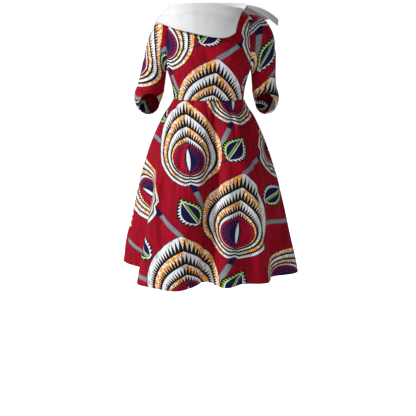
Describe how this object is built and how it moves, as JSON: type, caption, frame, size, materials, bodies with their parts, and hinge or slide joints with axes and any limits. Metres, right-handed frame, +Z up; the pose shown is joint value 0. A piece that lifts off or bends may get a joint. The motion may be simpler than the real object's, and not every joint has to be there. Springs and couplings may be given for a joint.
{
  "type": "ankara wax print dress",
  "caption": "Knee-length fit-and-flare dress in crimson wax print, worn form, with elbow sleeves, a flared skirt in folds and a wide white fold-over collar open at one shoulder.",
  "frame": {"origin": "middle of the neckline, level with the neck points, where the shoulders carry the dress", "axes": "+Z up, front faces -Y, the wearer's left is +X"},
  "size_m": [0.7118, 0.6019, 1.0518],
  "materials": {
    "print": "wax print cotton, slight sheen",
    "white": "matt white cloth"
  },
  "bodies": {
    "root": {"bodice_front": "print", "bodice_back_left": "print", "bodice_back_right": "print", "sleeve_left": "print", "sleeve_right": "print", "skirt_front": "print", "skirt_back_left": "print", "skirt_back_right": "print", "collar": "white"}
  },
  "joints": []
}
